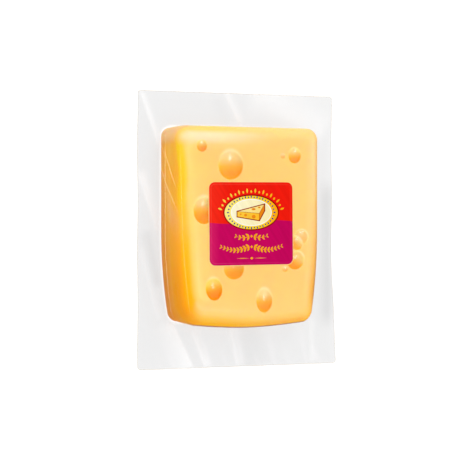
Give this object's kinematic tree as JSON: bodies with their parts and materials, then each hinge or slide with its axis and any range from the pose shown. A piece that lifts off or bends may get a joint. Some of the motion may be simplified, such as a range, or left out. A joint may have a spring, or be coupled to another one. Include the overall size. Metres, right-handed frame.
{
  "type": "vacuum packed block of cheese with eyes",
  "caption": "Block of pale yellow cheese with round eyes, sealed in a clear film pouch with a wide flat margin and a square label; lies on its back.",
  "frame": {"origin": "middle of the pack's footprint, on the surface that its back lies on", "axes": "+Z out of the labelled face, +Y to the pack's top, +X to its right"},
  "size_m": [0.1268, 0.1642, 0.0287],
  "materials": {
    "cheese": "smooth pressed cheese, slightly moist under the film",
    "film": "clear glossy packaging film",
    "label": "coated printed paper"
  },
  "bodies": {
    "root": {"cheese": "cheese", "pouch": "film", "label": "label"}
  },
  "joints": []
}
